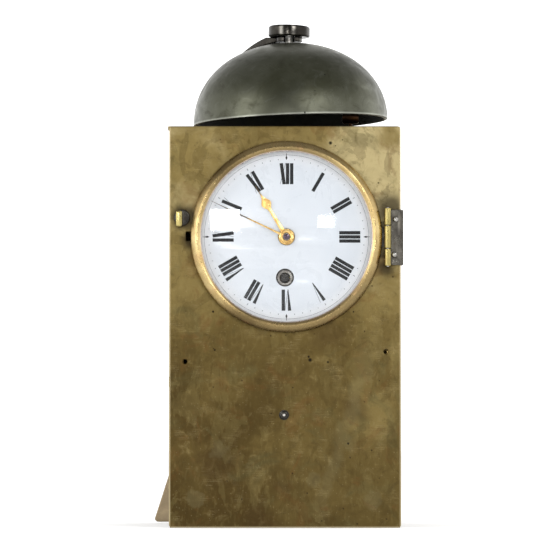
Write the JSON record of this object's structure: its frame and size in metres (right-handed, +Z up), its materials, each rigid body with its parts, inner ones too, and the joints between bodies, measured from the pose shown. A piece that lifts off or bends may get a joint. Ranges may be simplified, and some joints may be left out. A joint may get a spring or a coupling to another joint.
{
  "type": "travel alarm clock",
  "caption": "Upright brass-cased travelling alarm clock with a round enamel dial, hinged glazed bezel, side and back doors, fold-out rear prop and a large bell on top.",
  "frame": {"origin": "centre of the flat underside of the base plate, on the surface the clock stands on", "axes": "+Z up along the case, +X to the right as the dial is seen, the dial faces -Y"},
  "size_m": [0.1102, 0.099, 0.2209],
  "materials": {
    "case_brass": "tarnished and scratched sheet",
    "bright_brass": "polished, lightly worn",
    "gear_brass": "machined",
    "bell_bronze": "dark patinated bell metal",
    "dark_steel": "dark, tarnished",
    "steel": "plain",
    "enamel": "glossy white enamel",
    "glass": "clear",
    "gilt": "gilt",
    "copper_bronze": "reddish, dull"
  },
  "bodies": {
    "case": {"front_plate": "case_brass", "top_plate": "case_brass", "base_plate": "case_brass", "case_post_front_left": "gear_brass", "case_post_front_right": "gear_brass", "case_post_rear_left": "gear_brass", "case_post_rear_right": "gear_brass", "side_panel_right": "case_brass", "side_panel_left_lower": "case_brass", "back_panel_lower": "case_brass", "prop_bracket": "dark_steel", "bell_strap": "dark_steel", "strap_screw": "steel", "bell": "bell_bronze", "bell_stud": "steel", "bell_nut": "dark_steel", "bezel_hinge_leaf": "dark_steel", "bezel_hinge_pin": "steel", "hinge_rivet_upper": "steel", "hinge_rivet_lower": "steel", "front_screw": "steel", "movement_seat": "case_brass", "dial": "enamel", "movement_front_plate": "gear_brass", "movement_back_plate": "gear_brass", "movement_pillar_lower_left": "gear_brass", "movement_pillar_lower_right": "gear_brass", "movement_pillar_upper_left": "gear_brass", "movement_pillar_upper_right": "gear_brass", "balance_cock": "gear_brass"},
    "side_door": {"side_door": "case_brass"},
    "back_door": {"back_door": "case_brass"},
    "rear_prop": {"rear_prop": "case_brass"},
    "bezel": {"bezel": "bright_brass", "dial_glass": "glass"},
    "latch": {"latch_disc": "dark_steel", "latch_bar": "bright_brass"},
    "going_barrel": {"going_barrel": "gear_brass", "going_mainspring": "steel"},
    "winding_arbor": {"winding_arbor": "steel", "ratchet_wheel": "steel"},
    "click": {"click": "steel"},
    "centre_arbor": {"centre_wheel": "gear_brass", "cannon_pinion": "steel", "minute_hand": "gilt"},
    "minute_wheel": {"minute_wheel": "gear_brass"},
    "hour_wheel": {"hour_wheel": "gear_brass", "hour_hand": "gilt"},
    "third_wheel": {"third_wheel": "gear_brass"},
    "fourth_wheel": {"fourth_wheel": "gear_brass"},
    "escape_wheel": {"escape_wheel": "gear_brass"},
    "pallet_lever": {"pallet_lever": "steel"},
    "balance": {"balance_wheel": "bright_brass", "hairspring": "steel"},
    "alarm_barrel": {"alarm_barrel": "gear_brass"},
    "alarm_winding_arbor": {"alarm_winding_arbor": "steel"},
    "alarm_escape_wheel": {"alarm_escape_wheel": "gear_brass"},
    "hammer": {"hammer": "copper_bronze"},
    "alarm_setting": {"alarm_setting_wheel": "gear_brass"},
    "alarm_release_lever": {"alarm_release_lever": "steel"}
  },
  "joints": [
    {"name": "side_door_swing", "type": "hinge", "parent": "case", "child": "side_door", "pos_m": [-0.0491, -0.0412, 0.118], "axis": [0, 0, 1], "range_deg": [0, 115]},
    {"name": "back_door_swing", "type": "hinge", "parent": "case", "child": "back_door", "pos_m": [0.0484, 0.04485, 0.115], "axis": [0, 0, -1], "range_deg": [0, 115]},
    {"name": "rear_prop_fold", "type": "hinge", "parent": "case", "child": "rear_prop", "pos_m": [-0.0046, 0.0479, 0.052], "axis": [1, 0, 0], "range_deg": [0, 35]},
    {"name": "bezel_swing", "type": "hinge", "parent": "case", "child": "bezel", "pos_m": [0.0443, -0.04675, 0.1254], "axis": [0, 0, 1], "range_deg": [0, 110]},
    {"name": "latch_turn", "type": "hinge", "parent": "case", "child": "latch", "pos_m": [-0.0444, -0.0453, 0.1336], "axis": [0, -1, 0], "range_deg": [-90, 0]},
    {"name": "hands_turn", "type": "hinge", "parent": "case", "child": "centre_arbor", "pos_m": [0.00065, 0, 0.1254], "axis": [0, 1, 0], "continuous": true},
    {"name": "going_barrel_turn", "type": "hinge", "parent": "case", "child": "going_barrel", "pos_m": [0, 0, 0.1078], "axis": [0, 1, 0], "continuous": true},
    {"name": "winding_arbor_turn", "type": "hinge", "parent": "case", "child": "winding_arbor", "pos_m": [0, 0, 0.1078], "axis": [0, 1, 0], "continuous": true},
    {"name": "click_lift", "type": "hinge", "parent": "case", "child": "click", "pos_m": [0.0105, -0.0397, 0.1136], "axis": [0, 1, 0], "range_deg": [0, 12], "stiffness_Nm_per_rad": 0.002},
    {"name": "minute_wheel_turn", "type": "hinge", "parent": "case", "child": "minute_wheel", "pos_m": [-0.00895, 0, 0.1254], "axis": [0, 1, 0], "continuous": true},
    {"name": "hour_wheel_turn", "type": "hinge", "parent": "case", "child": "hour_wheel", "pos_m": [0.00065, 0, 0.1254], "axis": [0, 1, 0], "continuous": true},
    {"name": "third_wheel_turn", "type": "hinge", "parent": "case", "child": "third_wheel", "pos_m": [-0.01104, 0, 0.13215], "axis": [0, 1, 0], "continuous": true},
    {"name": "fourth_wheel_turn", "type": "hinge", "parent": "case", "child": "fourth_wheel", "pos_m": [-0.0053, 0, 0.14209], "axis": [0, 1, 0], "continuous": true},
    {"name": "escape_wheel_turn", "type": "hinge", "parent": "case", "child": "escape_wheel", "pos_m": [0.0048, 0, 0.14387], "axis": [0, 1, 0], "continuous": true},
    {"name": "pallet_lever_rock", "type": "hinge", "parent": "case", "child": "pallet_lever", "pos_m": [0.01062, 0, 0.14875], "axis": [0, 1, 0], "range_deg": [-8, 8]},
    {"name": "balance_swing", "type": "hinge", "parent": "case", "child": "balance", "pos_m": [0.01629, 0, 0.15351], "axis": [0, 1, 0], "range_deg": [-270, 270], "stiffness_Nm_per_rad": 0.000012, "deforming": ["hairspring"]},
    {"name": "alarm_barrel_turn", "type": "hinge", "parent": "case", "child": "alarm_barrel", "pos_m": [0.019, 0, 0.084], "axis": [0, 1, 0], "continuous": true},
    {"name": "alarm_winding_turn", "type": "hinge", "parent": "case", "child": "alarm_winding_arbor", "pos_m": [0.019, 0, 0.084], "axis": [0, 1, 0], "continuous": true},
    {"name": "alarm_escape_turn", "type": "hinge", "parent": "case", "child": "alarm_escape_wheel", "pos_m": [0.02492, 0, 0.09669], "axis": [0, 1, 0], "continuous": true},
    {"name": "hammer_strike", "type": "hinge", "parent": "case", "child": "hammer", "pos_m": [0.0292, 0, 0.1095], "axis": [0, 1, 0], "range_deg": [0, 7.2], "stiffness_Nm_per_rad": 0.05},
    {"name": "alarm_setting_turn", "type": "hinge", "parent": "case", "child": "alarm_setting", "pos_m": [-0.01681, 0, 0.11989], "axis": [0, 1, 0], "continuous": true},
    {"name": "alarm_release_rock", "type": "hinge", "parent": "case", "child": "alarm_release_lever", "pos_m": [-0.014, 0.006, 0.099], "axis": [0, 1, 0], "range_deg": [-3, 3]}
  ],
  "couplings": [
    {"joint": "going_barrel_turn", "follows": "hands_turn", "ratio": -0.16667},
    {"joint": "minute_wheel_turn", "follows": "hands_turn", "ratio": -0.33333},
    {"joint": "hour_wheel_turn", "follows": "hands_turn", "ratio": 0.083333},
    {"joint": "third_wheel_turn", "follows": "hands_turn", "ratio": -8},
    {"joint": "fourth_wheel_turn", "follows": "hands_turn", "ratio": 60},
    {"joint": "escape_wheel_turn", "follows": "hands_turn", "ratio": -480},
    {"joint": "alarm_setting_turn", "follows": "hands_turn", "ratio": 0.083333},
    {"joint": "alarm_escape_turn", "follows": "alarm_barrel_turn", "ratio": -5}
  ]
}
